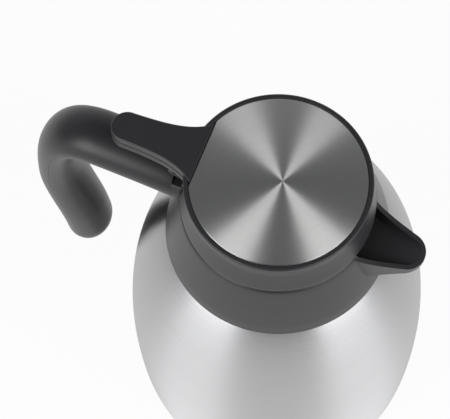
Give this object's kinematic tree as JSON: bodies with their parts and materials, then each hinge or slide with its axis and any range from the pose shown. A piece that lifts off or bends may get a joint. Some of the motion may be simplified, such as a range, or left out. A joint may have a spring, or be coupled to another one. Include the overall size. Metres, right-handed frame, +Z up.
{
  "type": "thermal carafe",
  "caption": "Insulated steel serving jug with a thumb lever that flips its lid, an open pouring spout, a hooked handle with a free end and a lift-out stopper.",
  "frame": {"origin": "middle of the face that the jug stands on, on the body's axis", "axes": "+Z up along the body's axis, +X out along the spout, handle on the -X side, +Y to the left of the spout seen from above"},
  "size_m": [0.1846, 0.142, 0.248],
  "materials": {
    "body_steel": "satin, brushed round the body",
    "disc_steel": "brushed in circles round the centre",
    "black_plastic": "fine satin moulding",
    "inner_plastic": "smooth moulding",
    "silicone": "matte silicone",
    "rubber_pad": "matte rubber",
    "fastener_steel": "plain",
    "foam": "rigid foam"
  },
  "bodies": {
    "jug": {"outer_shell": "body_steel", "outer_shoulder": "body_steel", "inner_flask": "body_steel", "flask_shoulder": "body_steel", "shell_bottom": "body_steel", "vacuum_cap": "fastener_steel", "getter": "fastener_steel", "base_cup": "black_plastic", "base_pad": "rubber_pad", "collar": "black_plastic", "collar_seal": "silicone", "handle_outer": "black_plastic", "handle_inner": "black_plastic", "handle_screws": "fastener_steel"},
    "stopper": {"stopper_body": "inner_plastic", "stopper_gasket": "silicone", "hinge_pin": "fastener_steel", "lid_spring": "fastener_steel"},
    "lid": {"lid_ring": "black_plastic", "lever_tray": "black_plastic", "disc_plate": "disc_steel", "lid_foam": "foam", "lid_liner": "inner_plastic", "lid_screws": "fastener_steel", "valve_seal": "silicone"}
  },
  "joints": [
    {"name": "stopper_lift", "type": "slide", "parent": "jug", "child": "stopper", "axis": [0, 0, 1], "range_m": [0, 0.06]},
    {"name": "lid_flip", "type": "hinge", "parent": "stopper", "child": "lid", "pos_m": [-0.042, 0, 0.235], "axis": [0, -1, 0], "range_deg": [0, 10], "stiffness_Nm_per_rad": 0.12, "springref_deg": -22.92}
  ]
}
